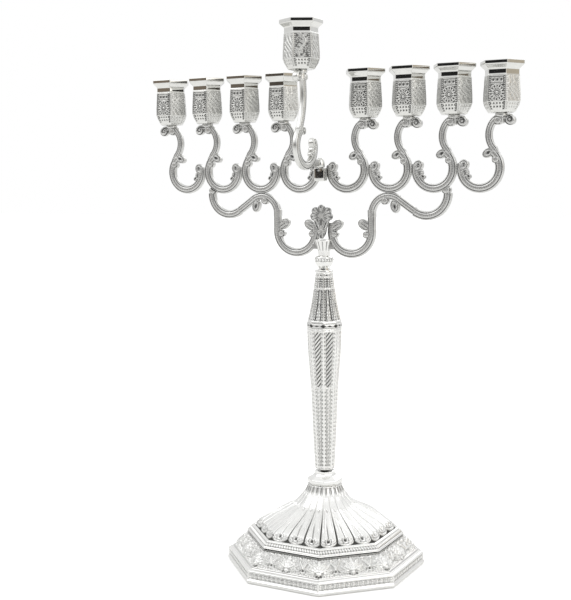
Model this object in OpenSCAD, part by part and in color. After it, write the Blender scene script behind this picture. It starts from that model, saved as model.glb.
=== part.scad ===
// Nine-branched Hanukkah candelabrum: a hollow octagonal foot, a turned octagonal stem on a
// tie rod, two scroll brackets, eight row arms with hexagonal candle cups, and a raised
// servant arm with its own cup that lifts out of a socket block.
// X runs along the row of cups, -Y is the front, Z is up. The origin is the centre of the
// foot's underside. All sizes are in millimetres.

/* [Row] */
// Distance between neighbouring row cups
cup_pitch = 27; // [25:0.5:30]
// Number of arms on each side of the middle
arms_per_side = 4; // [4]
// Height of the seat under each row cup
seat_z = 270.5; // [268:0.5:274]
// Thickness of every flat scroll casting
casting_t = 3.6; // [3.2:0.1:4]
// Width of the crescent bands
band_w = 5; // [4:0.1:5.4]
// Width of the risers under the cups
riser_w = 3.4; // [3:0.1:3.8]

/* [Cup] */
// Height of a candle cup
cup_h = 27.5; // [26:0.5:30]
// Corner radius of the hexagonal rim
cup_rim_r = 12.4; // [12:0.1:13]
// Radius of the candle bore
candle_r = 5.4; // [5:0.1:5.6]
// Length of the candle bore
candle_len = 9.9; // [8:0.1:10.5]
// Radius of the drip well above the candle bore
well_r = 7.4; // [7:0.1:7.8]

/* [Servant arm] */
// Distance of the servant cup in front of the row
servant_reach = 28; // [27:0.5:30]
// Height of the seat under the servant cup
servant_seat_z = 297; // [294:0.5:300]
// Radius of the servant arm's foot peg
peg_r = 1.6; // [1.4:0.05:1.8]
// Length of the foot peg
peg_len = 6; // [5:0.5:6.5]
// Radial clearance of the peg in its socket
peg_gap = 0.05; // [0.03:0.01:0.1]

/* [Foot and stem] */
// Corner radius of the octagonal foot
foot_r = 61.2; // [58:0.2:64]
// Wall thickness of the foot shell
foot_wall = 2.2; // [1.8:0.1:2.6]
// Radius of the tie rod
rod_r = 2; // [1.8:0.1:2.2]
// Radial clearance around the tie rod
rod_gap = 0.1; // [0.05:0.05:0.2]
// Thickness of the felt under the foot
felt_t = 1.2; // [1:0.1:1.5]
// Thickness of the plate that closes the foot
cover_t = 1.2; // [1:0.1:1.5]

/* [Hidden] */
$fn = 72;

silver = [0.86, 0.86, 0.85];
grey_silver = [0.68, 0.68, 0.67];
steel = [0.55, 0.56, 0.58];
felt_colour = [0.10, 0.16, 0.12];

half_t = casting_t / 2;
chamfer = 0.6;
riser_half = half_t - 0.2;
rod_hole_r = rod_r + rod_gap;

// Row arm, measured from the centre of its cup seat: outward is +X
crescent_r = 11.1;
crescent_x = -11.4;
crescent_z = -29.6;
trim = 0.1;
crescent_out = crescent_r + band_w / 2;
land = crescent_out - trim;
row_bottom_z = seat_z + crescent_z - land;
gap_half = cup_pitch + crescent_x - land;

// Screw that holds a cup to its arm
screw_r = 1.2;
screw_head_r = 2.4;
screw_head_h = 1.2;
screw_len = 5;
cup_floor = 1.7;
head_recess_h = 1.4;
bore_bottom = cup_floor + head_recess_h;
bore_top = bore_bottom + candle_len;
mouth_h = 1.4;

// Heights of the stem pieces, from the foot upwards
foot_top_z = 50;
collar_top_z = 58;
belt_z = 147;
belt_h = 3;
ring_z = 180;
ring_h = 1.6;
neck_top_z = 190;
hub_top_z = 200;
rod_bottom_z = 38;
rod_top_z = 193;
nut_h = 3.2;
washer_h = 1;
foot_roof_z = 46;
slot_z = 194;

// Socket block in front of the two inner arms
block_w = 6.8;
block_front_y = -6.9;
block_z = 234.5;
block_h = 7.5;
block_top_z = block_z + block_h;
socket_y = -4.4;

// Corner radius and height of each step of the octagonal foot, from the floor upwards
foot_profile = [
    [foot_r - 0.9, 0], [foot_r, 1.2], [foot_r, 2.2], [foot_r - 0.8, 2.8], [foot_r - 0.8, 7.2],
    [foot_r - 1.4, 8], [foot_r - 3.4, 8.6], [foot_r - 4, 9.4], [foot_r - 6.4, 13], [foot_r - 11.2, 17.6],
    [foot_r - 12.8, 18.8], [foot_r - 12.8, 21], [foot_r - 15.2, 21.6], [foot_r - 16.4, 23], [41, 26.8],
    [35.5, 30], [27, 34], [19.5, 38], [15, 42.4], [12.4, 46.4], [11, foot_top_z]
];
foot_hollow = [
    [foot_r - foot_wall - 0.7, -1], [foot_r - foot_wall - 0.7, felt_t + cover_t],
    [foot_r - foot_wall - 1.7, felt_t + cover_t], [foot_r - foot_wall - 1.7, 6],
    [foot_r - foot_wall - 6, 10], [foot_r - foot_wall - 14, 17], [foot_r - foot_wall - 17.6, 20.6],
    [33, 28], [16.5, 35.6], [11.5, 40.4], [8.6, foot_roof_z]
];
collar_profile = [
    [10.2, foot_top_z], [10.8, 51.6], [10.8, 53.2], [9.2, 54.4], [7.2, 55.4], [6.2, 56.6], [6.2, collar_top_z]
];
stem_lower_profile = [
    [5.9, collar_top_z], [6.5, 68], [7.2, 82], [8.2, 108], [9.3, 122], [10.3, 136], [10.5, belt_z]
];
stem_upper_profile = [
    [10.4, belt_z + belt_h], [9.2, 154], [7.6, 162], [6.4, 170], [5.6, 176], [5.2, ring_z]
];
cup_profile = [
    [7.2, 0], [8, 0.8], [9.7, 3.6], [10.5, 6], [10.3, 12], [10.2, 20.2], [9.6, 21], [9.6, 23],
    [cup_rim_r, 25.3], [cup_rim_r, cup_h]
];
neck_profile = [
    [0, ring_z + ring_h], [3.5, ring_z + ring_h], [3.4, 183], [4.6, 184.4], [5.4, 186], [5.9, 187.8],
    [5.4, 189.4], [4.4, neck_top_z], [0, neck_top_z]
];
hub_profile = [
    [0, neck_top_z], [3.4, neck_top_z], [3.6, 192.4], [4.4, 195.4], [5.5, 198.2], [5.8, hub_top_z],
    [0, hub_top_z]
];

// A solid with an even number of flat sides: profile holds [corner radius, height] pairs
module flat_sided(profile, sides) {
    to_flat = cos(180 / sides);
    reach = 4 * max([for (p = profile) p[0]]);
    right_side = [for (p = profile) [p[0] * to_flat, p[1]]];
    left_side = [for (i = [len(profile) - 1:-1:0]) [-profile[i][0] * to_flat, profile[i][1]]];
    intersection_for (i = [0:sides / 2 - 1]) {
        rotate([90, 0, i * 360 / sides])
            linear_extrude(height = reach, center = true)
                polygon(concat(right_side, left_side));
    }
}

// A flat casting's band that follows an arc in the XZ plane, with its corners eased
module band(centre, r, w, from, to, half = half_t) {
    translate([centre[0], 0, centre[1]])
        rotate([90, 0, 0])
            rotate([0, 0, from])
                rotate_extrude(angle = to - from)
                    translate([r, 0])
                        polygon([
                            [-w / 2, -half + chamfer], [-w / 2 + chamfer, -half],
                            [w / 2 - chamfer, -half], [w / 2, -half + chamfer],
                            [w / 2, half - chamfer], [w / 2 - chamfer, half],
                            [-w / 2 + chamfer, half], [-w / 2, half - chamfer]
                        ]);
}

// A round volute or bead with eased edges, lying in the XZ plane
module knob(centre, r, t = casting_t) {
    ease = 0.5;
    translate([centre[0], 0, centre[1]])
        rotate([90, 0, 0])
            rotate_extrude()
                polygon([[0, -t / 2], [r - ease, -t / 2], [r, -t / 2 + ease], [r, t / 2 - ease],
                    [r - ease, t / 2], [0, t / 2]]);
}

// The crescent with its inner tip volute and outer bead, shared by all nine arms
module crescent(centre) {
    band(centre, crescent_r, band_w, 165, 406);
    knob([centre[0] - 9.5, centre[1] + 1], 2.9);
    knob([centre[0] + 9.8, centre[1] + 4.2], 1.6);
    knob([centre[0] + 4.6, centre[1] + 7.5], 2.5);
}

// The seat plate under a cup and the pair of volutes that hang from it
module seat() {
    translate([0, 0, -2])
        cylinder(r = 3.4, h = 2);
    translate([0, 0, -screw_len - 0.6])
        cylinder(r = 2.1, h = screw_len);
    knob([-0.8, -3.5], 2.2);
    knob([5.2, -4.1], 2.7);
    translate([2.4, 0, -2.6])
        cube([5.2, casting_t - 0.8, 1.8], center = true);
}

module screw_hole() {
    translate([0, 0, -screw_len])
        cylinder(r = screw_r, h = screw_len + 1);
}

// One row arm from its cup seat down; its crescent is trimmed flat where it meets a neighbour
module row_arm() {
    difference() {
        union() {
            intersection() {
                crescent([crescent_x, crescent_z]);
                translate([crescent_x - land, -10, crescent_z - land])
                    cube([2 * land, 20, 60]);
            }
            band([4.53, -11.5], 11.33, riser_w, 120, 234, riser_half);
            seat();
        }
        screw_hole();
    }
}

module place_right(i) {
    translate([i * cup_pitch, 0, seat_z])
        children();
}

module arm_right(i) {
    color(grey_silver)
        place_right(i) row_arm();
}

module arm_left(i) {
    color(grey_silver)
        mirror([1, 0, 0])
            place_right(i) row_arm();
}

// A hexagonal candle cup standing on its seat
module candle_cup() {
    difference() {
        rotate([0, 0, 30])
            flat_sided(cup_profile, 6);
        translate([0, 0, bore_top])
            cylinder(r = well_r, h = cup_h);
        translate([0, 0, cup_h - mouth_h])
            cylinder(r = cup_rim_r - 2.4, h = 3, $fn = 6);
        translate([0, 0, bore_bottom])
            cylinder(r = candle_r, h = candle_len + 1);
        translate([0, 0, cup_floor])
            cylinder(r = screw_head_r + 0.2, h = head_recess_h + 1);
        translate([0, 0, -1])
            cylinder(r = screw_r + 0.1, h = cup_floor + 2);
    }
}

module cup_right(i) {
    color(silver)
        place_right(i) candle_cup();
}

module cup_left(i) {
    color(silver)
        translate([-i * cup_pitch, 0, seat_z]) candle_cup();
}

// A pan-head screw, drawn with its head on the cup's floor
module screw() {
    translate([0, 0, cup_floor])
        cylinder(r = screw_head_r, h = screw_head_h);
    translate([0, 0, -screw_len + 0.4])
        cylinder(r = screw_r, h = screw_len + cup_floor);
}

module cup_screws() {
    color(steel)
        for (i = [-arms_per_side:arms_per_side])
            if (i != 0)
                translate([i * cup_pitch, 0, seat_z]) screw();
}

// Servant arm frame: local +X points to the front
module place_servant() {
    translate([0, -servant_reach, servant_seat_z])
        rotate([0, 0, -90])
            children();
}

module servant_arm() {
    crescent_at = [-4.4, -42.6];
    foot_x = -servant_reach - socket_y;
    foot_z = block_top_z - servant_seat_z;
    foot_lug_r = 2.6;
    lug_end = crescent_at[0] - 8.6;
    color(silver)
        place_servant()
            difference() {
                union() {
                    band(crescent_at, crescent_r, band_w, 170, 416);
                    knob([crescent_at[0] - 9.5, crescent_at[1] + 1], 2.9);
                    knob([crescent_at[0] + 3.8, crescent_at[1] + 8.8], 2.9);
                    band([39.2, -13], 41.3, riser_w, 163.5, 212);
                    seat();
                    translate([foot_x, 0, foot_z])
                        cylinder(r = foot_lug_r, h = 6);
                    translate([foot_x, 1 - half_t, foot_z + 1])
                        cube([lug_end - foot_x, casting_t - 2, 4.4]);
                    translate([foot_x, 0, foot_z - peg_len])
                        cylinder(r = peg_r, h = peg_len + 1);
                }
                screw_hole();
            }
}

module servant_cup() {
    color(silver)
        place_servant() candle_cup();
}

module servant_screw() {
    color(steel)
        place_servant() screw();
}

// Block soldered to the front of the two inner arms, with a tongue between them
module socket_block() {
    color(grey_silver)
        difference() {
            union() {
                translate([-block_w / 2, block_front_y, block_z])
                    cube([block_w, -half_t - block_front_y, block_h]);
                translate([-gap_half, -half_t - 0.5, block_z + 2])
                    cube([2 * gap_half, casting_t, block_h - 2]);
            }
            translate([0, socket_y, block_top_z - peg_len - 0.5])
                cylinder(r = peg_r + peg_gap, h = peg_len + 2);
        }
}

// One scroll bracket on the right: inner crescent, arch and outer crescent in one casting
module bracket() {
    tongue_x = 7;
    outer_arm_x = 3 * cup_pitch + crescent_x;
    arch = [42, 215.2];
    arch_w = 4.4;
    bow = [65.4, 227];
    link_slope = 34.7;
    link_len = 13.6;
    difference() {
        union() {
            intersection() {
                band([18.3, 204.7], 13, band_w, 155, 368);
                translate([0, -10, 180])
                    cube([60, 20, 60]);
            }
            translate([0, -half_t, slot_z])
                cube([tongue_x, casting_t, 3.4]);
            knob([9.8, 209.7], 3);
            knob([7.3, 203], 1.8);
            knob([26.3, 208.8], 3);
            knob([28, 203], 1.8);
            translate([29.1, -half_t + 0.1, 204.7])
                cube([4.4, casting_t - 0.2, 9.4]);
            band(arch, 10.6, arch_w, 52, 190);
            translate([(arch[0] + bow[0]) / 2 - 0.6, 0, (arch[1] + bow[1]) / 2 - 0.8])
                rotate([0, link_slope, 0])
                    cube([link_len, casting_t - 0.2, arch_w], center = true);
            knob([39.7, 223.2], 2);
            knob([45.4, 220.6], 3);
            band(bow, 12.6, band_w, 233, 364);
            knob([77.2, 229], 2.5);
        }
        translate([20, -10, row_bottom_z])
            cube([40, 20, 20]);
        translate([outer_arm_x, 0, seat_z + crescent_z])
            rotate([90, 0, 0])
                cylinder(r = crescent_out, h = 20, center = true);
    }
}

module bracket_right() {
    color(grey_silver)
        bracket();
}

module bracket_left() {
    color(grey_silver)
        mirror([1, 0, 0]) bracket();
}

// Five-lobed flower on a V-shaped stalk, on the front of the two brackets
module palmette() {
    depth = 2.6;
    flower_z = 214.4;
    lobe_ring = 4.6;
    stalk_w = 6.2;
    color(silver)
        translate([0, -half_t - depth, 0]) {
            for (a = [0:45:180])
                translate([lobe_ring * cos(a), 0, flower_z + lobe_ring * sin(a) * 0.8])
                    rotate([-90, 0, 0])
                        cylinder(r = 2.6, h = depth);
            translate([0, 0, flower_z])
                rotate([-90, 0, 0])
                    cylinder(r = 4, h = depth);
            translate([0, depth, 0])
                rotate([90, 0, 0])
                    linear_extrude(height = depth)
                        polygon([[-stalk_w, flower_z - 1.5], [stalk_w, flower_z - 1.5],
                            [1.4, hub_top_z + 0.4], [-1.4, hub_top_z + 0.4]]);
        }
}

module felt_pad() {
    color(felt_colour)
        rotate([0, 0, 22.5])
            cylinder(r = foot_r - foot_wall - 1.1, h = felt_t, $fn = 8);
}

module foot_cover() {
    color(steel)
        translate([0, 0, felt_t])
            rotate([0, 0, 22.5])
                cylinder(r = foot_r - foot_wall - 0.9, h = cover_t, $fn = 8);
}

module foot_shell() {
    color(silver)
        difference() {
            flat_sided(foot_profile, 8);
            flat_sided(foot_hollow, 8);
            translate([0, 0, foot_roof_z - 1])
                cylinder(r = rod_hole_r, h = 20);
        }
}

module rod_washer() {
    color(steel)
        translate([0, 0, foot_roof_z - washer_h])
            difference() {
                cylinder(r = 5, h = washer_h);
                translate([0, 0, -1])
                    cylinder(r = rod_hole_r, h = washer_h + 2);
            }
}

module rod_nut() {
    color(steel)
        translate([0, 0, foot_roof_z - washer_h - nut_h])
            difference() {
                cylinder(r = 4, h = nut_h, $fn = 6);
                translate([0, 0, -1])
                    cylinder(r = rod_r, h = nut_h + 2);
            }
}

module tie_rod() {
    color(steel)
        translate([0, 0, rod_bottom_z])
            cylinder(r = rod_r, h = rod_top_z - rod_bottom_z);
}

// An octagonal stem piece bored for the tie rod
module bored_octagon(profile) {
    bottom = profile[0][1];
    top = profile[len(profile) - 1][1];
    difference() {
        flat_sided(profile, 8);
        translate([0, 0, bottom - 1])
            cylinder(r = rod_hole_r, h = top - bottom + 2);
    }
}

module foot_collar() {
    color(silver)
        bored_octagon(collar_profile);
}

module stem_lower() {
    color(silver)
        bored_octagon(stem_lower_profile);
}

module stem_belt() {
    color(silver)
        bored_octagon([[11, belt_z], [11.3, belt_z + 0.8], [11.3, belt_z + belt_h - 0.8], [11, belt_z + belt_h]]);
}

module stem_upper() {
    color(silver)
        bored_octagon(stem_upper_profile);
}

module stem_ring() {
    color(silver)
        translate([0, 0, ring_z])
            difference() {
                cylinder(r = 5.6, h = ring_h);
                translate([0, 0, -1])
                    cylinder(r = rod_hole_r, h = ring_h + 2);
            }
}

module neck_collar() {
    color(silver)
        difference() {
            rotate_extrude()
                polygon(neck_profile);
            translate([0, 0, ring_z])
                cylinder(r = rod_hole_r, h = 20);
        }
}

// The hub takes the tie rod from below and the tongues of both brackets in a slot from above
module hub() {
    color(silver)
        difference() {
            rotate_extrude()
                polygon(hub_profile);
            translate([0, 0, neck_top_z - 1])
                cylinder(r = rod_r, h = rod_top_z - neck_top_z + 1);
            translate([-10, -half_t, slot_z])
                cube([20, casting_t, 10]);
        }
}

felt_pad();
foot_cover();
foot_shell();
rod_washer();
rod_nut();
tie_rod();
foot_collar();
stem_lower();
stem_belt();
stem_upper();
stem_ring();
neck_collar();
hub();
bracket_left();
bracket_right();
palmette();
socket_block();
for (i = [1:arms_per_side]) {
    arm_left(i);
    arm_right(i);
    cup_left(i);
    cup_right(i);
}
cup_screws();
servant_arm();
servant_cup();
servant_screw();
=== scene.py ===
import math
import bpy
import numpy as np
from mathutils import Matrix, Vector


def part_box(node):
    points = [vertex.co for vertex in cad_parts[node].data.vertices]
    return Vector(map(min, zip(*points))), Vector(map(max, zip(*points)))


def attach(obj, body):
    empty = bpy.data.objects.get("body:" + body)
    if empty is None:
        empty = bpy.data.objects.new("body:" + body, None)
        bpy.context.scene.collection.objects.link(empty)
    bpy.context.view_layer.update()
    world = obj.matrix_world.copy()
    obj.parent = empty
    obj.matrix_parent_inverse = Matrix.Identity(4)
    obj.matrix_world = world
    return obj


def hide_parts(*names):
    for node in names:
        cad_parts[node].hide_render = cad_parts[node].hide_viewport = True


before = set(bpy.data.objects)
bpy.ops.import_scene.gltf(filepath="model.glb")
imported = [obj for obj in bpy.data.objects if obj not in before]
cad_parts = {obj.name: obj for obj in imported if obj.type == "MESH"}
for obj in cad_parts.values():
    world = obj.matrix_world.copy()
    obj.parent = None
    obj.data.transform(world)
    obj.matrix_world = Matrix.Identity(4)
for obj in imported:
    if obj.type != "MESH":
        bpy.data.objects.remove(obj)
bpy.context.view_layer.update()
print("menorah: frame loaded")

mm = 0.001


def boxOf(nodeName):
    low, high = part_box(nodeName)
    return np.array(low) / mm, np.array(high) / mm


def levels(nodeName):    # bottom and top of a node, mm
    low, high = boxOf(nodeName)
    return round(float(low[2]), 3), round(float(high[2]), 3)


def atLevel(profile, level):    # a profile drawn from its own bottom, set at a level
    return [(radius, height + level) for radius, height in profile]


def ease(x):    # 0 to 1 with soft ends
    x = np.clip(x, 0, 1)
    return x * x * (3 - 2 * x)


def ridge(distance, halfWidth):    # a rounded bead or rib, 1 on its crest
    return np.sqrt(np.clip(1 - (distance / halfWidth) ** 2, 0, 1))


def plateau(distance, halfWidth, soft):    # flat on top with eased sides
    return ease((halfWidth - distance) / soft + 0.5)


def repeated(x, pitch):    # distance from the nearest repeat
    return np.abs((x / pitch + 0.5) % 1 - 0.5) * pitch


def traceProfile(corners, step, soften):    # even steps along an outline, its corners softened
    corners = np.array(corners, float)
    lengths = np.hypot(*np.diff(corners, axis=0).T)
    along = np.concatenate([[0], np.cumsum(lengths)])
    count = max(int(along[-1] / step), 4)
    stations = np.linspace(0, along[-1], count + 1)
    traced = np.stack([np.interp(stations, along, corners[:, i]) for i in (0, 1)], 1)
    if soften:
        reach = int(3 * soften / step) + 1
        kernel = np.exp(-0.5 * (np.arange(-reach, reach + 1) * step / soften) ** 2)
        kernel /= kernel.sum()
        ends = np.pad(traced, ((reach, reach), (0, 0)), "reflect", reflect_type="odd")
        traced = np.stack([np.convolve(ends[:, i], kernel, "valid") for i in (0, 1)], 1)
    return traced[:, 0], traced[:, 1]


def skin(rings, closed):    # rings of points to one closed surface
    count, around = rings.shape[:2]
    index = np.arange(count * around).reshape(count, around)
    if closed:
        index = np.vstack([index, index[:1]])
    nextPoint = np.roll(index, -1, axis=1)
    quads = np.stack([index[:-1], nextPoint[:-1], nextPoint[1:], index[1:]], -1).reshape(-1, 4)
    points = rings.reshape(-1, 3)
    faces = quads.tolist()
    if not closed:
        poles = np.array([rings[0].mean(0), rings[-1].mean(0)])
        first = len(points)
        points = np.vstack([points, poles])
        for k in range(around):
            faces.append([first, int(nextPoint[0, k]), int(index[0, k])])
            faces.append([first + 1, int(index[-1, k]), int(nextPoint[-1, k])])
    return points, faces


def isInsideOut(points, faces):
    corners = np.array([face[:3] for face in faces] + [[f[0], f[2], f[3]] for f in faces if len(f) == 4])
    a, b, c = points[corners[:, 0]], points[corners[:, 1]], points[corners[:, 2]]
    return np.einsum("ij,ij->i", a, np.cross(b, c)).sum() < 0


def shell(rings, recess, polish, closed=False):    # one closed skin with its shading values
    points, faces = skin(rings, closed)
    if isInsideOut(points, faces):
        faces = [face[::-1] for face in faces]
    recess = np.broadcast_to(recess, rings.shape[:2]).ravel()
    polish = np.broadcast_to(polish, rings.shape[:2]).ravel()
    if not closed:
        recess = np.concatenate([recess, [recess[0], recess[-1]]])
        polish = np.concatenate([polish, [polish[0], polish[-1]]])
    return points, faces, recess, polish


def moved(parts, change):    # parts carried by a function of their points
    done = []
    for points, faces, recess, polish in parts:
        points = change(points)
        if isInsideOut(points, faces):
            faces = [face[::-1] for face in faces]
        done.append((points, faces, recess, polish))
    return done


def addPiece(name, parts, material, body, nodes):
    points, faces, recess, polish, first = [], [], [], [], 0
    for partPoints, partFaces, partRecess, partPolish in parts:
        points.append(partPoints)
        faces += [[corner + first for corner in face] for face in partFaces]
        recess.append(partRecess)
        polish.append(partPolish)
        first += len(partPoints)
    mesh = bpy.data.meshes.new(name)
    mesh.from_pydata((np.vstack(points) * mm).tolist(), [], faces)
    mesh.attributes.new("recess", "FLOAT", "POINT").data.foreach_set("value", np.concatenate(recess))
    mesh.attributes.new("polish", "FLOAT", "POINT").data.foreach_set("value", np.concatenate(polish))
    mesh.polygons.foreach_set("use_smooth", np.ones(len(faces), bool))
    mesh.materials.append(material)
    mesh.update()
    piece = bpy.data.objects.new(name, mesh)
    bpy.context.scene.collection.objects.link(piece)
    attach(piece, body)
    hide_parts(*nodes)
    return piece


def facets(outer, inner, sides, turn, columns, step, relief=None, soften=0.25, deep=0.45, polish=0.0,
           boredOut=True):
    # a faceted wall: outer and inner hold (corner radius, height); boredOut makes the inside round;
    # deep is the depth of the darkest ground, polish a number or a function of the height
    r, z = traceProfile(outer, step, soften)
    outerCount = len(r)
    inner = np.array(inner, float)
    r = np.concatenate([r, inner[:, 0]])
    z = np.concatenate([z, inner[:, 1]])
    half = math.pi / sides
    apothem = r * math.cos(half)
    slopeR, slopeZ = np.gradient(apothem), np.gradient(z)
    length = np.hypot(slopeR, slopeZ) + 1e-9
    outR, outZ = slopeZ / length, -slopeR / length
    across = np.tile(np.linspace(-1, 1, columns, endpoint=False), sides)
    face = np.repeat(np.arange(sides), columns)
    lift = np.zeros((len(r), sides * columns))
    if relief:
        halfWidth = (apothem * math.tan(half))[:outerCount, None]
        lift[:outerCount] = relief(face[None], across[None] * halfWidth, z[:outerCount, None], halfWidth)
    faceAngle = turn + 2 * half * face
    angle = faceAngle + np.arctan(across * math.tan(half))
    flat = (apothem[:, None] + lift * outR[:, None]) / np.cos(angle - faceAngle)[None]
    circle = np.broadcast_to(r[:, None], flat.shape)
    isInner = (np.arange(len(r)) >= outerCount)[:, None] & boredOut
    radius = np.where(isInner, circle, flat)
    height = z[:, None] + lift * outZ[:, None]
    rings = np.stack([radius * np.cos(angle), radius * np.sin(angle), height], -1)
    recess = np.clip(-lift / deep, 0, 1)
    shine = polish(z)[:, None] if callable(polish) else polish
    return shell(rings, recess, shine, closed=True)


def turned(outer, inner, around, step, soften=0.2, polish=0.0, relief=None, deep=0.4):
    # a round part; relief takes the angle and the height
    r, z = traceProfile(outer, step, soften)
    outerCount = len(r)
    r = np.concatenate([r, [p[0] for p in inner]])
    z = np.concatenate([z, [p[1] for p in inner]])
    angle = np.linspace(0, 2 * math.pi, around, endpoint=False)[None]
    lift = np.zeros((len(r), around))
    if relief:
        lift[:outerCount] = relief(angle, z[:outerCount, None])
    radius = r[:, None] + lift
    height = np.broadcast_to(z[:, None], radius.shape)
    rings = np.stack([radius * np.cos(angle), radius * np.sin(angle), height], -1)
    return shell(rings, np.clip(-lift / deep, 0, 1), polish, closed=True)


def squared(angle, power):    # a circle pushed towards a square
    c, s = np.cos(angle), np.sin(angle)
    return np.sign(c) * np.abs(c) ** power, np.sign(s) * np.abs(s) ** power


def bar(axis, start, stop, count, centre, halves, power, around, recess):    # a bar with softly squared edges
    along = np.linspace(start, stop, count)[:, None]
    a, b = squared(np.linspace(0, 2 * math.pi, around, endpoint=False)[None], power)
    across = [centre[0] + halves[0] * a + 0 * along, centre[1] + halves[1] * b + 0 * along]
    across.insert("xyz".index(axis), along + 0 * a)
    return shell(np.stack(across, -1), recess, 0.0)


def linear(hexColour):    # sRGB hex to the linear values of a shader socket
    values = [int(hexColour[i:i + 2], 16) / 255 for i in (0, 2, 4)]
    return [v / 12.92 if v <= 0.04045 else ((v + 0.055) / 1.055) ** 2.4 for v in values] + [1.0]


def newMaterial(name):
    material = bpy.data.materials.new(name)
    material.use_nodes = True
    material.node_tree.nodes.clear()
    return material, material.node_tree


def addNode(tree, kind, settings=None, links=None):
    node = tree.nodes.new(kind)
    for name, value in (settings or {}).items():
        if isinstance(name, int) or name in node.inputs:
            node.inputs[name].default_value = value
        else:
            setattr(node, name, value)
    for name, source in (links or {}).items():
        tree.links.new(source, node.inputs[name])
    return node


# Silver plate over cast and chased brass: the crests are rubbed bright by the polishing wheel, while the matt
# hollows are painted darker, partly the grey bloom they keep and partly painted shade, so the ornament reads
# light on dark
def platedSilver(name, look):
    material, tree = newMaterial(name)
    recess = addNode(tree, "ShaderNodeAttribute", {"attribute_name": "recess"})
    polish = addNode(tree, "ShaderNodeAttribute", {"attribute_name": "polish"})
    place = addNode(tree, "ShaderNodeTexCoord")
    bloom = addNode(tree, "ShaderNodeTexNoise", {"Scale": 1 / (look["bloomMm"] * mm), "Detail": 3.0},
                    {"Vector": place.outputs["Object"]})
    grain = addNode(tree, "ShaderNodeTexNoise", {"Scale": 1 / (look["grainMm"] * mm), "Detail": 2.0},
                    {"Vector": place.outputs["Object"]})
    hollow = addNode(tree, "ShaderNodeMath", {"operation": "POWER", 1: look["hollowPower"]},
                     {0: recess.outputs["Fac"]})
    crest = addNode(tree, "ShaderNodeMix",
                    {"data_type": "RGBA", 6: linear(look["crest"]), 7: linear(look["cloud"])},
                    {0: bloom.outputs["Fac"]})
    # painted shade: the hollow colour comes in with the depth of each hollow, partly grey bloom
    colour = addNode(tree, "ShaderNodeMix", {"data_type": "RGBA", 7: linear(look["hollow"])},
                     {0: hollow.outputs[0], 6: crest.outputs[2]})
    rough = addNode(tree, "ShaderNodeMapRange", {"To Min": look["roughness"], "To Max": look["polished"]},
                    {"Value": polish.outputs["Fac"]})
    worn = addNode(tree, "ShaderNodeMath", {"operation": "MULTIPLY_ADD", 1: look["roughSpread"]},
                   {0: bloom.outputs["Fac"], 2: rough.outputs[0]})
    matt = addNode(tree, "ShaderNodeMath", {"operation": "MULTIPLY_ADD", 1: look["hollowRough"]},
                   {0: recess.outputs["Fac"], 2: worn.outputs[0]})
    dull = addNode(tree, "ShaderNodeMath", {"operation": "SUBTRACT", 0: 1.0}, {1: polish.outputs["Fac"]})
    bump = addNode(tree, "ShaderNodeBump", {"Distance": look["grainDeepMm"] * mm},
                   {"Height": grain.outputs["Fac"], "Strength": dull.outputs[0]})
    shader = addNode(tree, "ShaderNodeBsdfPrincipled", {"Metallic": 1.0},
                     {"Base Color": colour.outputs[2], "Roughness": matt.outputs[0],
                      "Normal": bump.outputs["Normal"]})
    addNode(tree, "ShaderNodeOutputMaterial", {}, {"Surface": shader.outputs[0]})
    return material


# cloud tints patches of the crest, roughSpread and hollowRough add to the roughness in patches
# and in the hollows, and a higher hollowPower keeps shallow cuts light
# hollow is the colour of the deepest cuts: partly grey bloom, partly painted shade
silverLooks = {
    "bright": {"crest": "F4F4F2", "cloud": "E9E9E7", "hollow": "484846", "hollowPower": 2.4,
               "roughness": 0.22, "polished": 0.1, "roughSpread": 0.06, "hollowRough": 0.15,
               "bloomMm": 6, "grainMm": 0.5, "grainDeepMm": 0.02},
    # painted shade: a darker copy of the bright silver for the arms, brackets and palmette, for the dark
    # their faces mirror
    "shadedCopy": {"crest": "E2E2E0", "cloud": "BDBDBB", "hollow": "505050", "hollowPower": 0.9,
             "roughness": 0.3, "polished": 0.12, "roughSpread": 0.08, "hollowRough": 0.15,
             "bloomMm": 5, "grainMm": 0.4, "grainDeepMm": 0.03},
    "cup": {"crest": "E8E8E5", "cloud": "D8D8D5", "hollow": "525251", "hollowPower": 1.2,
            "roughness": 0.26, "polished": 0.05, "roughSpread": 0.05, "hollowRough": 0.15,
            "bloomMm": 4, "grainMm": 0.35, "grainDeepMm": 0.02},
}
brightSilver = platedSilver("silver_plate_cast_bright", silverLooks["bright"])
# the darker copy is painted shade on the same silver, not a different metal
shadedSilver = platedSilver("silver_plate_cast_painted_shade", silverLooks["shadedCopy"])
cupSilver = platedSilver("silver_plate_stamped_cup", silverLooks["cup"])


# Mild steel, turned and zinc plated: a bluish grey with fine turning lines
def turnedSteel():
    material, tree = newMaterial("mild_steel_turned")
    look = {"light": "A9ACB0", "dark": "7C8085", "roughness": 0.32, "lineMm": 0.4, "lineDeepMm": 0.02}
    pitchAtOne = 0.314    # pitch of the wave texture's bands at scale 1
    place = addNode(tree, "ShaderNodeTexCoord")
    lines = addNode(tree, "ShaderNodeTexWave",
                    {"bands_direction": "Z", "Scale": pitchAtOne / (look["lineMm"] * mm),
                     "Distortion": 1.5, "Detail": 2.0},
                    {"Vector": place.outputs["Object"]})
    colour = addNode(tree, "ShaderNodeMix",
                     {"data_type": "RGBA", 6: linear(look["dark"]), 7: linear(look["light"])},
                     {0: lines.outputs["Fac"]})
    bump = addNode(tree, "ShaderNodeBump", {"Distance": look["lineDeepMm"] * mm},
                   {"Height": lines.outputs["Fac"]})
    shader = addNode(tree, "ShaderNodeBsdfPrincipled", {"Metallic": 1.0, "Roughness": look["roughness"]},
                     {"Base Color": colour.outputs[2], "Normal": bump.outputs["Normal"]})
    addNode(tree, "ShaderNodeOutputMaterial", {}, {"Surface": shader.outputs[0]})
    return material


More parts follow.
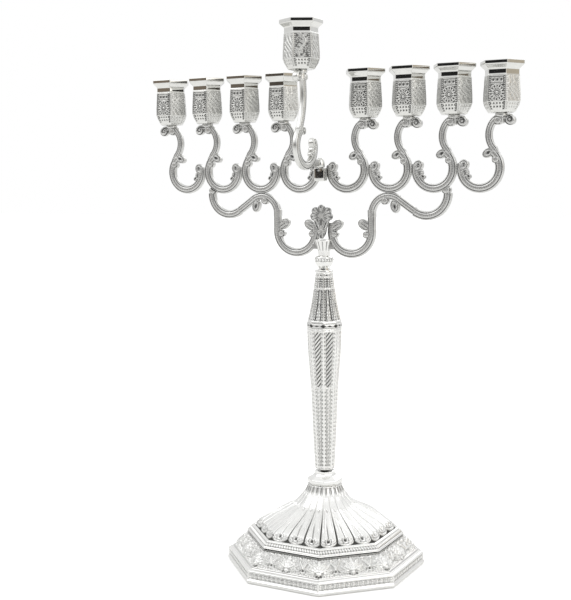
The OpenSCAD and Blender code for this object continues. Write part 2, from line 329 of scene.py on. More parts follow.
# Wool felt, pressed: short matted fibres that scatter light, dark green
def pressedFelt():
    material, tree = newMaterial("wool_felt_pressed")
    look = {"dark": "1B2C20", "light": "35503C", "roughness": 0.95, "sheen": 0.4,
            "fibreMm": 0.6, "fibreDeepMm": 0.15}
    place = addNode(tree, "ShaderNodeTexCoord")
    fibres = addNode(tree, "ShaderNodeTexNoise",
                     {"Scale": 1 / (look["fibreMm"] * mm), "Detail": 5.0, "Distortion": 1.0},
                     {"Vector": place.outputs["Object"]})
    colour = addNode(tree, "ShaderNodeMix",
                     {"data_type": "RGBA", 6: linear(look["dark"]), 7: linear(look["light"])},
                     {0: fibres.outputs["Fac"]})
    bump = addNode(tree, "ShaderNodeBump", {"Distance": look["fibreDeepMm"] * mm},
                   {"Height": fibres.outputs["Fac"]})
    shader = addNode(tree, "ShaderNodeBsdfPrincipled",
                     {"Roughness": look["roughness"], "Sheen Weight": look["sheen"]},
                     {"Base Color": colour.outputs[2], "Normal": bump.outputs["Normal"]})
    addNode(tree, "ShaderNodeOutputMaterial", {}, {"Surface": shader.outputs[0]})
    return material


steel = turnedSteel()
felt = pressedFelt()
for nodeName in ("tie_rod", "rod_nut", "rod_washer", "cup_screws", "servant_screw", "foot_cover"):
    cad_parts[nodeName].data.materials.clear()
    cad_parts[nodeName].data.materials.append(steel)
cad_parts["felt_pad"].data.materials.clear()
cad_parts["felt_pad"].data.materials.append(felt)
print("menorah: materials ready")


foot = {
    "egg": 2.9,             # pitch of the plinth's eggs, mm
    "eggLevel": 5.0,        # height of their middle
    "friezeLevel": 9.4,     # bottom of the frieze
    "bead": 1.75,           # pitch of the bead step
    "beadLevel": 21.4,      # height of the beads' middle
    "domeLevel": 22.9,      # bottom of the fluted dome
    "lobesPerFace": 3,      # flutes of the dome on each face
    "eyeLevel": 26.0,       # height of the round eyes at the ends of the tails
    "dropLevel": 37.8,      # height of the small drops
    "slotLevel": 44,        # bottom of the slots under the collar
}
footApothem = boxOf("foot_shell")[1][0]
footR = footApothem / math.cos(math.pi / 8)    # to the corners of the octagon


def plinthRelief(face, u, z, half):
    count = np.round(2 * half.mean() / foot["egg"])
    pitch = 2 * half / count
    du = repeated(u + half - pitch / 2, pitch)
    level = np.abs(z - foot["eggLevel"])
    away = np.hypot(du / 0.95, level / 1.45)
    egg = ridge(away, 1)
    ring = 0.8 * ridge(away - 1.35, 0.22)
    rails = ridge(level - 2.1, 0.35)
    pattern = np.maximum(np.maximum(egg, ring), np.maximum(rails, ridge(half - np.abs(u), 0.8)))
    slope = 0.35 * ease((z - 8.3) / 0.3)    # the matt slope above the band
    return -0.8 * plateau(level, 2.2, 0.3) * (1 - pattern) - slope


plinthOuter = [(footR - 0.9, 0), (footR - 0.1, 0.8), (footR, 1.4), (footR, 2.2), (footR - 0.6, 2.7),
               (footR - 0.7, 7.3), (footR - 0.9, 7.9), (footR - 3.2, 8.5), (footR - 3.9, 9.4)]
plinthInner = [(footR - 7.5, 9.0), (footR - 6.2, 6.5), (footR - 4.8, 5), (footR - 4.6, 2.5),
               (footR - 4.0, 2.4), (footR - 4.0, 0.1)]


def leaf(x, y, length, width, ribs):    # a veined leaf that lies along +y from its stalk at 0
    t = np.clip(y / length, 0, 1)
    half = width * np.sin(np.pi * t ** 0.8) ** 0.7 * (1 + 0.16 * np.cos(2 * np.pi * ribs * t)) + 1e-6
    inside = (y > 0) & (y < length)
    body = np.clip(1 - (x / half) ** 2, 0, 1) ** 0.5
    vein = 1 - 0.55 * ridge(x, 0.16 * width + 0.08)
    ribbed = 1 - 0.3 * ridge(repeated(y - np.abs(x) * 0.9, length / ribs), 0.17 * length / ribs)
    return np.where(inside, body * vein * ribbed, 0)


def turnedBy(x, y, centreX, centreY, degrees):    # places seen from a centre, in turned axes
    c, s = math.cos(math.radians(degrees)), math.sin(math.radians(degrees))
    dx, dy = x - centreX, y - centreY
    return dx * c + dy * s, -dx * s + dy * c


def friezeRelief(face, u, z, half):
    v = (z - foot["friezeLevel"]) / 0.72    # up the slope, 0 to about 13 mm
    side = half - np.abs(u)    # distance from the nearer corner
    pattern = np.zeros(np.broadcast(u, z).shape)
    # shell on each corner: a fan of leaves over a round boss
    for degrees in (-102, -77, -51, -26, 0):
        lx, ly = turnedBy(side, v, 0, 3.4, degrees)
        pattern = np.maximum(pattern, leaf(lx, ly, 8.8, 1.75, 4))
    boss = np.hypot(side, v - 3.2)
    pattern = np.maximum(pattern, ridge(boss, 1.5))
    # leaf spray in the middle of the face
    for degrees, reach, wide in ((0, 10.4, 1.8), (27, 9.8, 1.8), (55, 8.8, 1.7), (82, 6.8, 1.5)):
        for hand in (-1, 1):
            lx, ly = turnedBy(u, v, 0, 2.4, hand * degrees)
            pattern = np.maximum(pattern, leaf(lx, ly, reach, wide, 5))
    heart = np.hypot(u, v - 2.2)
    pattern = np.maximum(pattern, ridge(heart, 1.3))
    # pairs of crossing blades and curled buds between the spray and the shells
    between = np.abs(u) - half / 2
    for hand in (-1, 1):
        blade = hand * between - 0.62 * (v - 5.4)
        bladeEnds = ease((v - 0.6) / 0.8) * ease((10.4 - v) / 1.5)
        pattern = np.maximum(pattern, 0.95 * ridge(blade, 0.7) * bladeEnds)
        bud = np.hypot(between - hand * 2.6, v - 11.0)
        pattern = np.maximum(pattern, 0.95 * ridge(bud, 1.2))
    low = np.hypot(between, v - 2.2)
    pattern = np.maximum(pattern, 0.95 * ridge(low, 1.1))
    grains = ridge(np.hypot(repeated(u + 0.7 * v, 1.7) / 0.6, repeated(v, 1.5) / 0.6), 1)
    pattern = np.maximum(pattern, 0.3 * grains)
    pattern = np.maximum(pattern, 0.9 * plateau(v, 0.5, 0.4))
    pattern = np.maximum(pattern, ridge(np.hypot(repeated(u, 1.6) / 0.7, (v - 0.9) / 0.6), 1))
    under = np.maximum(ridge(boss - 2.3, 0.8), ridge(heart - 2.1, 0.75)) * (v < 3.8)
    cleft = ridge(low - 1.9, 0.7) * (v > 2.4)
    dark = np.maximum(under, cleft)    # deep cuts below the bosses and over the low buds
    return -(1.2 * (1 - pattern) + dark) * ease(v / 0.8) * ease((13.6 - v) / 0.6)


friezeOuter = [(footR - 4.0, 9.2), (footR - 4.4, 9.9), (footR - 6.4, 13), (footR - 11.2, 17.6),
               (footR - 12.6, 18.6), (footR - 12.8, 18.9)]
friezeInner = [(footR - 16, 17), (footR - 12, 12.6), (footR - 8.6, 9.2)]


def beadStepRelief(face, u, z, half):
    count = np.round(2 * half.mean() / foot["bead"])
    pitch = 2 * half / count
    level = z - foot["beadLevel"]
    du = repeated(u + half - pitch / 2 + 0.25 * level, pitch)    # the beads lean a little
    bead = ridge(np.hypot(du / 0.72, level / 0.95), 1)
    rail = np.maximum(ridge(z - 20.2, 0.25), ridge(z - 22.5, 0.2))
    band = plateau(np.abs(z - 21.35), 1.2, 0.2)
    seam = ridge(z - 19.5, 0.2)
    return -0.6 * band * (1 - np.maximum(bead, rail)) - 0.35 * seam


beadOuter = [(footR - 12.9, 18.7), (footR - 12.6, 19), (footR - 12.7, 19.8), (footR - 13.3, 20.4),
             (footR - 15.2, 22.4), (footR - 15.6, 22.7), (footR - 16.6, 23.2)]
beadInner = [(footR - 19, 21.4), (footR - 17, 18.8)]    # wall behind the step


def domeRelief(face, u, z, half):
    lobes = foot["lobesPerFace"]
    pitch = 2 * half / lobes
    du = (u + half) % pitch - pitch / 2    # from the middle of the flute
    t = du / (pitch / 2)
    bow = 1 - np.sqrt(np.clip(1 - (0.97 * t) ** 2, 0, 1))
    rise = z - foot["domeLevel"] - 0.3 - 3.4 * bow    # above the round end of each tongue
    inside = ease(rise / 0.35)
    tongue = 0.86 + 0.14 * np.sqrt(np.clip(1 - t ** 2, 0, 1))
    rimCut = ridge(rise - 1.1, 0.26) * (np.abs(t) < 0.9)
    innerCut = ridge(rise - 2.2, 0.24) * (np.abs(t) > 0.3) * (np.abs(t) < 0.8)
    # a thin tail that swells to a round eye with a curl beside it
    lean = du + 0.14 * half * np.clip((z - 27) / 12, 0, 1)
    tail = ridge(lean, 0.44) * ease((z - 26) / 1.5) * ease((35.5 - z) / 5)
    fromEye = np.hypot(du + 0.3, (z - foot["eyeLevel"]) * 1.3)
    eye = ridge(fromEye, 1.25)
    curl = ridge(fromEye - 2.0, 0.3) * (z < foot["eyeLevel"] + 1)
    drop = ridge(np.hypot(du, (z - foot["dropLevel"]) * 1.1), 0.6) * ease((pitch - 3) / 2)
    seam = ridge(np.abs(t) - 1, 0.13 + 0.1 * ease((z - 38) / 6))
    twin = ridge(np.abs(t) - 0.62, 0.07) * ease((z - 29) / 3) * ease((41 - z) / 4)
    neck = ease((z - 42.5) / 3.5) * (1 - ridge(t, 0.62))
    cut = np.maximum.reduce([rimCut * 0.8, innerCut * 0.7, tail * 0.7, eye, curl * 0.8, drop,
                             seam * 0.85, twin * 0.35, neck])
    pattern = np.clip(tongue - cut, 0, 1) * inside
    depth = 0.5 + 0.8 * ease((pitch - 3) / 6)
    slot = 0.9 * ease((z - foot["slotLevel"]) / 3) * ease((0.62 - np.abs(t)) / 0.25)
    return -(depth * (1 - pattern) + slot) * ease((50.2 - z) / 0.6)


domeOuter = [(footR - 16.5, 22.9), (footR - 17, 23.4), (41, 26.8), (35.5, 30), (27, 34), (19.5, 38),
             (15, 42.4), (12.4, 46.4), (11, 49.6), (10.8, 50)]
domeInner = [(3, 50), (3, 46), (8, 45.8), (11, 40.4), (16, 35.4), (33, 27.4), (footR - 20, 21.6)]

# outline, wall behind it, columns on a face, step up the outline, relief, softening, darkest depth
footPieces = (
    ("foot_plinth", plinthOuter, plinthInner, 150, 0.26, plinthRelief, 0.16, 0.92),
    ("foot_frieze", friezeOuter, friezeInner, 150, 0.2, friezeRelief, 0.16, 2.0),
    ("foot_bead_step", beadOuter, beadInner, 130, 0.16, beadStepRelief, 0.12, 0.7),
    ("foot_dome", domeOuter, domeInner, 126, 0.56, domeRelief, 1.1, 1.2),
)
for name, outer, inner, columns, step, relief, soften, deep in footPieces:
    part = facets(outer, inner, 8, 0, columns, step, relief, soften, deep, boredOut=False)
    addPiece(name, [part], brightSilver, "stand", ["foot_shell"])
print("menorah: foot cast")


stem = {
    "bore": 2.1,          # radius of the hole for the tie rod, mm
    "ropePitch": 2.7,     # pitch of the slanting rope strips
    "dashPitch": 2.4,     # pitch of the dashes below them and of the dots on the edges
    "ropeBottom": 52.5,   # where the rope panels start above the column's foot
}


def boreWall(node):    # the hole through a stem piece, from its top to its bottom
    bottom, top = levels(node)
    return [(stem["bore"], top), (stem["bore"], bottom)]


collarBottom = levels("foot_collar")[0]
collarOuter = [(10.2, 0), (10.8, 1.6), (10.8, 3.2), (9.2, 4.4), (7.2, 5.4), (6.2, 6.6), (6.2, 8)]
part = facets(atLevel(collarOuter, collarBottom), boreWall("foot_collar"), sides=8, turn=0, columns=30,
              step=0.22, soften=0.14, polish=1.0)
addPiece("foot_collar_faceted", [part], brightSilver, "stand", ["foot_collar"])

columnFoot, columnTop = levels("stem_lower")
ropeLevel = columnFoot + stem["ropeBottom"]


def stemLowerRelief(face, u, z, half):
    edge = half - np.abs(u)
    panelHalf = np.clip(half - 1.8, 0.5, None)
    inPanel = plateau(np.abs(u), panelHalf, 0.2)
    slant = z - 1.1 * u
    rope = ridge(repeated(slant, stem["ropePitch"]), 0.95)
    strand = 0.8 + 0.2 * ridge(repeated(slant - 0.4, stem["ropePitch"]), 0.6)
    dashAcross = (np.abs(u) - 0.5 * panelHalf) / 0.5
    dashes = ridge(np.hypot(dashAcross, repeated(z - 0.7 * u, stem["dashPitch"]) / 0.8), 1)
    upper = ease((z - ropeLevel) / 0.6)
    dots = ridge(np.hypot((edge - 1.0) / 0.42, repeated(z, stem["dashPitch"]) / 0.75), 1)
    border = ridge(np.abs(u) - panelHalf, 0.3)
    panel = upper * rope * strand + (1 - upper) * (1 - 0.66 * dashes)
    pattern = inPanel * panel + (1 - inPanel) * (1 - 0.9 * dots)
    pattern = pattern * (1 - 0.7 * border)
    for line in (ridge(edge, 0.45), 0.9 * ridge(z - ropeLevel, 0.6),
                 ridge(z - columnFoot - 3, 0.8), ridge(columnTop - 1.6 - z, 0.8)):
        pattern = np.maximum(pattern, line)
    neck = columnFoot + 1.5    # top of the plain dark groove at the foot of the column
    inBand = ease((z - neck) / 0.8) * ease((columnTop - 0.4 - z) / 0.6)
    return -0.8 * (1 - pattern) * inBand - 1.2 * ease((neck - z) / 0.4)


stemLowerOuter = [(5.6, 0), (5.9, 0.4), (6.5, 10), (7.2, 24), (8.2, 50), (9.3, 64), (10.3, 78),
                  (10.5, 88.6), (10.3, 89)]
part = facets(atLevel(stemLowerOuter, columnFoot), boreWall("stem_lower"), sides=8, turn=0, columns=38,
              step=0.28, relief=stemLowerRelief, soften=0.14, deep=0.84)
addPiece("stem_lower_column", [part], brightSilver, "stand", ["stem_lower"])


beltBottom, beltTop = levels("stem_belt")


def beltRelief(face, u, z, half):    # a dark diamond on each corner and a shallow one between
    level = np.abs(z - (beltBottom + beltTop) / 2)
    diamond = (half - np.abs(u)) / 1.9 + level / 1.4
    between = np.abs(u) / (half - 2.2) + level / 0.7
    return -0.2 - 0.5 * plateau(diamond, 0.95, 0.2) - 0.2 * plateau(between, 0.8, 0.2)


beltOuter = [(10.6, 0), (11.1, 0.4), (11.3, 1), (11.3, 2), (11.1, 2.6), (10.6, 3)]
part = facets(atLevel(beltOuter, beltBottom), boreWall("stem_belt"), sides=8, turn=0, columns=40,
              step=0.14, relief=beltRelief, soften=0.1, deep=0.36, polish=0.5)
addPiece("stem_belt_ring", [part], brightSilver, "stand", ["stem_belt"])


coneBottom, coneTop = levels("stem_upper")


def stemUpperRelief(face, u, z, half):    # leaves up and down each face, a row of dots, small tips above
    edge = half - np.abs(u)
    corner = ridge(edge, 0.45)
    inner = np.clip(half - 0.9, 0.4, None)
    inPanel = plateau(np.abs(u), inner, 0.2)
    rise = z - coneBottom
    leaves = np.maximum(leaf(u, rise - 1, 9, 1.5, 5), leaf(u, 20 - rise, 9.5, 1.0, 5))
    dots = ridge(np.hypot(u / 0.5, repeated(rise - 10.7, 1.9) / 0.5), 1) * (np.abs(rise - 10.7) < 2.4)
    tip = ridge(repeated(z, 1.3), 0.5) * ease((rise - 20.5) / 0.4) * inPanel
    chase = 0.5 * ridge(repeated(z + 1.3 * np.abs(u), 2.2), 0.85) * inPanel * (rise < 20.4)
    pattern = np.maximum(np.maximum(np.maximum(leaves, dots), tip), chase)
    sideBead = ridge(np.hypot((edge - 1.0) / 0.42, repeated(z, 1.5) / 0.6), 1)
    pattern = np.maximum(pattern, sideBead) * (1 - 0.8 * ridge(edge - 1.75, 0.35))
    for line in (corner, ridge(rise - 1, 0.6), ridge(rise - 20.6, 0.5), ridge(rise - 27.6, 0.5)):
        pattern = np.maximum(pattern, line)
    inBand = ease((rise - 0.4) / 0.5) * ease((coneTop - 0.4 - z) / 0.8)
    return -0.6 * (1 - pattern) * inBand


stemUpperOuter = [(10.2, 0), (10.4, 0.3), (9.2, 4), (7.6, 12), (6.4, 20), (5.6, 26), (5.2, 29.7), (5.0, 30)]
part = facets(atLevel(stemUpperOuter, coneBottom), boreWall("stem_upper"), sides=8, turn=0, columns=34,
              step=0.22, relief=stemUpperRelief, soften=0.2, deep=0.52)
addPiece("stem_upper_cone", [part], brightSilver, "stand", ["stem_upper"])

ringOuter = [(5.2, 0), (5.5, 0.2), (5.6, 0.8), (5.5, 1.4), (5.2, 1.6)]
part = turned(atLevel(ringOuter, levels("stem_ring")[0]), boreWall("stem_ring"), around=96,
              step=0.1, soften=0.1, polish=1.0)
addPiece("stem_ring_polished", [part], brightSilver, "stand", ["stem_ring"])

neckBottom = levels("neck_collar")[0]
neck = {"beads": 20, "beadLevel": 6.1, "beadRadius": 5.6}    # level above its bottom, mm


def neckRelief(angle, z):
    level = z - neckBottom - neck["beadLevel"]
    along = repeated(angle, 2 * math.pi / neck["beads"]) * neck["beadRadius"]
    beads = ridge(np.hypot(along / 0.7, level / 0.9), 1)
    return -0.35 * plateau(np.abs(level), 0.95, 0.2) * (1 - beads)


neckOuter = [(3.5, 0), (3.4, 1.4), (4.6, 2.8), (5.4, 4.4), (5.9, 6.2), (5.4, 7.8), (4.4, 8.4)]
part = turned(atLevel(neckOuter, neckBottom), boreWall("neck_collar"), around=160,
              step=0.12, soften=0.15, polish=0.6, relief=neckRelief)
addPiece("neck_collar_turned", [part], brightSilver, "stand", ["neck_collar"])
print("menorah: stem cast")

hubBottom, hubTop = levels("hub")


def hubRelief(angle, z):    # twelve petals that point down
    petals = np.abs(np.cos(angle * 6))
    tip = hubBottom + 1.5 + 1.8 * (1 - petals)
    return -0.4 * (1 - petals ** 0.6) * ease((z - tip) / 0.8) * ease((hubTop - 0.8 - z) / 0.6)


hubOuter = [(3.4, 0), (3.6, 2.4), (4.4, 5.4), (5.5, 8.2), (5.8, 9.4), (5.6, 10)]
hubInner = [(1.9, 10), (1.9, 4), (stem["bore"], 3.9), (stem["bore"], 0)]
part = turned(atLevel(hubOuter, hubBottom), atLevel(hubInner, hubBottom), around=144,
              step=0.16, soften=0.15, polish=0.3, relief=hubRelief, deep=0.34)
addPiece("hub_bell", [part], brightSilver, "stand", ["hub"])


# the scroll castings lie flat in XZ
casting = {
    "half": 1.8,         # half the thickness, mm
    "groove": 0.6,       # where the two grooves run, as a share of the half width
    "tick": 1.3,         # pitch of the fine cuts along the middle strip, mm
    "step": 0.32,        # spacing of the rings along a band
    "across": 27,        # points across each side of a band
    "around": 64,        # points round a button
    "rows": 17,          # rings from a button's middle to its edge
}


def band(centre, radius, width, start, stop, half=casting["half"], thin=(1.0, 1.0)):
    # a reeded band along an arc: centre, radius and width in mm, start and stop in degrees;
    # thin holds the share of the width left at each end
    length = abs(math.radians(stop - start)) * radius
    count = max(int(length / casting["step"]), 8)
    t = np.linspace(0, 1, count)
    angle = np.radians(start + (stop - start) * t)
    along = t * length
    wide = width / 2 * (thin[0] + (1 - thin[0]) * ease(t * 6)) * (thin[1] + (1 - thin[1]) * ease((1 - t) * 6))
    wide = wide * np.sqrt(np.clip(np.minimum(along, length - along) / 0.7, 0.05, 1))
    acrossFront = np.sin(np.linspace(-math.pi / 2, math.pi / 2, casting["across"]))
    across = np.concatenate([acrossFront, acrossFront[::-1]])[None]
    side = np.repeat([-1.0, 1.0], casting["across"])[None]
    w = np.abs(across)
    ticks = 0.5 + 0.5 * np.cos(2 * np.pi * along[:, None] / casting["tick"])
    groove = ridge(w - casting["groove"], 0.13)
    cuts = 0.35 * ridge(w, 0.3) * ticks
    pattern = 1 - np.maximum(groove, cuts)
    bulge = np.sqrt(np.clip(1 - 0.6 * w ** 2.4, 0, 1))
    shoulder = np.sqrt(np.clip(1 - ((w - 0.86).clip(0) / 0.15) ** 2, 0, 1))
    reed = np.maximum(ridge(w, 0.6), ridge(w - 0.82, 0.24))
    edge = np.where(w > 0.86, 0.35 + 0.65 * shoulder, 1)
    y = side * half * bulge * (0.72 + 0.22 * reed + 0.06 * pattern) * edge
    offset = across * wide[:, None]
    x = centre[0] + (radius + offset) * np.cos(angle)[:, None]
    z = centre[1] + (radius + offset) * np.sin(angle)[:, None]
    rings = np.stack([x, y + 0 * x, z], -1)
    return shell(rings, np.clip(1 - pattern, 0, 1), 0.0)


def button(centre, long, wide, tilt, motif, half=casting["half"]):
    # a cast button: long and wide are its half sizes, tilt is in degrees, and motif gives
    # its relief from its own x and z and the share of its radius
    rows = casting["rows"]
    share = np.sin(np.linspace(0, math.pi / 2, rows + 1))[1:]
    share = np.concatenate([share, share[::-1]])[:, None]
    side = np.repeat([-1.0, 1.0], rows)[:, None]
    angle = np.linspace(0, 2 * math.pi, casting["around"], endpoint=False)[None]
    px, pz = share * long * np.cos(angle), share * wide * np.sin(angle)
    pattern = motif(px, pz, share)
    domed = np.sqrt(np.clip(1 - share ** 4, 0, 1))
    y = side * half * (0.35 + 0.65 * domed) * (0.6 + 0.4 * pattern)
    c, s = math.cos(math.radians(tilt)), math.sin(math.radians(tilt))
    x = centre[0] + px * c - pz * s
    z = centre[1] + px * s + pz * c
    rings = np.stack([x, y, z], -1)
    return shell(rings, np.clip(1 - pattern, 0, 1), 0.0)


def swirl(turns, hand=1, eye=0.26):    # a spiral groove round a raised eye
    def motif(px, pz, share):
        phase = hand * np.arctan2(pz, px) / (2 * math.pi) - share * turns
        cut = ridge((phase % 1) - 0.5, 0.2) * (share > eye + 0.06) * (share < 0.95)
        moat = ridge(share - eye - 0.07, 0.09)
        return 1 - np.maximum(0.95 * cut, 0.95 * moat)
    return motif


def leafHead(slit=0.12):    # a leaf tip with a dark slit along it and two veins
    def motif(px, pz, share):
        long = np.abs(px).max()
        wide = np.abs(pz).max()
        curve = pz / wide + 0.25 * (px / long) ** 2 - 0.1
        cut = ridge(curve, slit + 0.1) * (np.abs(px / long + 0.1) < 0.6)
        veins = ridge(repeated(px / long - np.abs(pz / wide) * 0.5, 0.4), 0.07) * (share > 0.35)
        return 1 - np.clip(np.maximum(cut, 0.6 * veins), 0, 1)
    return motif


def pearl():    # a ball with small pricks round its foot
    def motif(px, pz, share):
        five = ease((np.cos(5 * np.arctan2(pz, px)) + 0.3) / 0.8)
        return 1 - 0.9 * ridge(share - 0.84, 0.11) * (0.5 + 0.5 * five)
    return motif


def teardrop():    # an oval with a pear-shaped hollow
    def motif(px, pz, share):
        long = np.abs(px).max()
        wide = np.abs(pz).max()
        pear = 0.2 + 0.2 * np.clip(0.5 - px / long, 0, 1)
        hollow = np.hypot((px / long - 0.1) / 0.42, pz / wide / pear)
        rimCut = ridge(share - 0.74, 0.07)
        return 1 - np.maximum(np.clip(1.4 - hollow, 0, 1), 0.7 * rimCut)
    return motif


def petal():    # a broad petal with three creases that fade towards its tip
    def motif(px, pz, share):
        long = np.abs(px).max()
        wide = np.abs(pz).max()
        crease = ridge(repeated(pz / wide * 1.5, 0.85), 0.12) * ease((0.6 - px / long) / 0.5)
        rimCut = ridge(share - 0.8, 0.06)
        return 1 - np.clip(np.maximum(0.8 * crease, 0.6 * rimCut), 0, 1)
    return motif


def fan(ribs):    # a scallop with ribs that spread from its root
    def motif(px, pz, share):
        long = np.abs(px).max()
        spread = np.arctan2(pz, px + long * 1.1)
        cut = 0.5 + 0.5 * np.cos(spread * ribs * 2 * math.pi / 1.9)
        rimCut = ridge(share - 0.8, 0.08)
        return 1 - np.clip(np.maximum(0.8 * cut * (share > 0.2), 0.7 * rimCut), 0, 1)
    return motif


def crescent(centre, start, stop):    # the round bow of an arm with its teardrop and leaf tips
    cx, cz = centre
    parts = [band(centre, 11.1, 5.0, start, stop)]
    parts.append(button((cx - 9.6, cz + 1.6), 3.5, 2.9, 62, teardrop(), 2.1))
    parts.append(button((cx - 8.8, cz - 2.2), 2.9, 2.3, -70, leafHead(), 2.0))
    parts.append(button((cx - 6.6, cz - 4.3), 1.7, 1.3, -40, leafHead(0.2), 1.7))
    return parts


def seat():    # what carries a cup: ledge, column with the screw hole, and the curls round them
    ledgeOuter = [(2.1, -2.1), (3.0, -2.0), (3.4, -1.5), (3.4, -0.5), (3.2, 0)]
    columnOuter = [(1.9, -5.6), (2.1, -5.2), (2.1, -0.6)]
    columnInner = [(1.22, -0.6), (1.22, -5.0), (0.1, -5.05), (0.1, -5.6)]
    parts = [turned(ledgeOuter, [(1.25, 0), (1.25, -2.1)], around=72, step=0.14, soften=0.12)]
    parts.append(turned(columnOuter, columnInner, around=48, step=0.3, soften=0.1))
    parts.append(button((-1.5, -3.9), 2.6, 2.5, 20, pearl(), 2.7))
    parts.append(button((5.0, -3.7), 3.3, 2.9, -35, swirl(1.4, 1), 2.2))
    parts.append(button((2.2, -2.2), 2.4, 1.3, -8, leafHead(0.16), 1.7))
    return parts


# centres are in mm from the middle of the cup's underside, angles in degrees
rowArm = {"crescent": (-11.4, -29.6), "start": 165, "stop": 414, "riser": (4.53, -11.5), "riserR": 11.33}


def rowArmParts():
    cx, cz = rowArm["crescent"]
    parts = crescent((cx, cz), rowArm["start"], rowArm["stop"])
    parts.append(band(rowArm["riser"], rowArm["riserR"], 4.0, 121, 243, 1.7, thin=(0.8, 0.25)))
    parts.append(button((cx + 9.0, cz + 4.6), 2.3, 2.2, 0, pearl(), 2.3))
    parts.append(button((cx + 4.5, cz + 8.2), 3.5, 2.5, 28, teardrop(), 2.1))
    parts += seat()
    return parts


cupLow, cupHigh = boxOf("cup_right_1")
seatZ = cupLow[2]
pitch = (cupLow[0] + cupHigh[0]) / 2    # between the cups of the row
castArm = rowArmParts()
for side, hand in (("right", 1), ("left", -1)):
    for i in range(1, 5):
        name = f"arm_{side}_{i}"

        def place(points, hand=hand, i=i):
            x = hand * (points[:, 0] + i * pitch)
            return np.stack([x, points[:, 1], points[:, 2] + seatZ], 1)

        addPiece(name + "_scroll", moved(castArm, place), shadedSilver, "stand", [name])
print("menorah: row arms cast")


servantArm = {
    "crescent": (-4.4, -42.6), "start": 170, "stop": 416,
    "riser": (39.2, -13.0), "riserR": 41.3,
    "socketY": -4.4,    # its foot stands in the block, at the socket
    "lugEnd": -14.6, "lugLevel": 245.2,
}
servantCupLow, servantCupHigh = boxOf("servant_cup")
servantZ = servantCupLow[2]
servantY = (servantCupLow[1] + servantCupHigh[1]) / 2
socketY = servantArm["socketY"]
blockTop = levels("socket_block")[1]


def toFront(points):    # servant frame to world: local +X points to the front
    return np.stack([points[:, 1], servantY - points[:, 0], points[:, 2] + servantZ], 1)


def servantArmParts():
    cx, cz = servantArm["crescent"]
    parts = crescent((cx, cz), servantArm["start"], servantArm["stop"])
    parts.append(band(servantArm["riser"], servantArm["riserR"], 4.0, 164, 211.5, 1.7, thin=(0.8, 0.9)))
    parts.append(button((cx + 3.9, cz + 8.9), 3.0, 2.5, 30, swirl(1.3, -1)))
    parts.append(button((cx + 8.2, cz + 9.2), 1.9, 1.2, 40, leafHead(0.2), 1.9))
    parts += seat()
    return parts


ballOuter = [(1.6, 0), (2.4, 0.5), (2.6, 2), (2.5, 3.6), (1.9, 5.2), (1.3, 6)]
ball = turned(atLevel(ballOuter, blockTop), atLevel([(0.1, 6), (0.1, 0)], blockTop), around=64,
              step=0.2, soften=0.25, polish=0.2)
pegBottom = levels("servant_arm")[0]
pegOuter = [(1.2, 0), (1.6, 0.4), (1.6, 6.1)]
peg = turned(atLevel(pegOuter, pegBottom), atLevel([(0.1, 6.1), (0.1, 0)], pegBottom), around=48,
             step=0.25, soften=0.1, polish=0.4)
# the flat lug that ties the foot to the crescent
lug = bar("y", socketY - 1, servantArm["lugEnd"], 40, (0, servantArm["lugLevel"]), (0.8, 2.1), 0.4, 40, 0.35)


def atSocket(points):
    return points + np.array([0, socketY, 0])


parts = moved(servantArmParts(), toFront) + moved([ball, peg], atSocket) + [lug]
addPiece("servant_arm_scroll", parts, cupSilver, "servant", ["servant_arm"])
print("menorah: servant arm cast")


bracket = {
    "clear": 13.6,        # reach of the third row arm's crescent, where the outer scroll stops, mm
    "rowLevel": 227.4,    # underside of the row arms
    "tongueLevel": 195.7,
}


def bracketParts():    # in mm from the stem's axis and from the table
    parts = [band((18.3, 204.7), 13, 5.0, 158, 370)]    # inner bow
    parts.append(band((-168.8, 209.4), 200.1, 4.7, -2.5, 2.5))    # short upright between bow and arch
    for x, z, long, tilt in ((8.8, 208.4, 4.3, 32), (26.6, 208.9, 4.2, 148)):
        parts.append(button((x, z), long, 3.0, tilt, petal(), 2.0))
    for x, long in ((7.4, 2.4), (28.2, 2.3)):
        parts.append(button((x, 203.0), long, 2.1, 0, pearl(), 2.3))
    parts.append(band((42, 215.2), 10.6, 4.4, 52, 192))    # arch
    parts.append(band((251.4, 507.0), 348.6, 4.5, 234.25, 236.35))    # nearly straight run to the outer bow
    parts.append(button((39.9, 222.9), 2.5, 2.2, 20, pearl(), 2.2))
    parts.append(button((46.0, 219.8), 4.0, 2.7, -78, teardrop(), 2.1))
    parts.append(band((65.4, 227.0), 12.6, 5.0, 233, 364))    # outer bow, under the row
    parts.append(button((77.2, 229.0), 2.7, 2.4, 0, pearl(), 2.3))
    return parts


def trimBracket(points):    # the outer scroll stops where the row arm's crescent sits on it
    points = points.copy()
    centreX, centreZ = rowArm["crescent"]
    gap = points[:, [0, 2]] - np.array([3 * pitch + centreX, seatZ + centreZ])
    distance = np.hypot(gap[:, 0], gap[:, 1])
    near = distance < bracket["clear"]
    push = bracket["clear"] / distance[near] - 1
    points[near, 0] += gap[near, 0] * push
    points[near, 2] += gap[near, 1] * push
    onRow = (points[:, 0] > 30) & (points[:, 0] < 60)
    points[onRow, 2] = np.minimum(points[onRow, 2], bracket["rowLevel"])
    return points


hubTongue = bar("x", 0.3, 7.2, 24, (0, bracket["tongueLevel"]), (1.7, 1.65), 0.3, 40, 0.3)
castBracket = moved(bracketParts(), trimBracket) + [hubTongue]
for side, hand in (("right", 1), ("left", -1)):

    def mirrorTo(points, hand=hand):
        return points * np.array([hand, 1, 1])

    name = f"bracket_{side}"
    addPiece(name + "_scroll", moved(castBracket, mirrorTo), shadedSilver, "stand", [name])


palmette = {
    "centre": 214.4,       # height of its middle, mm
    "ring": 4.6,           # half width of the ring of lobes
    "squash": 0.72,        # height of the ring as a share of its width
    "lobe": (2.85, 2.5),
    "thick": 1.3,          # half its thickness
}


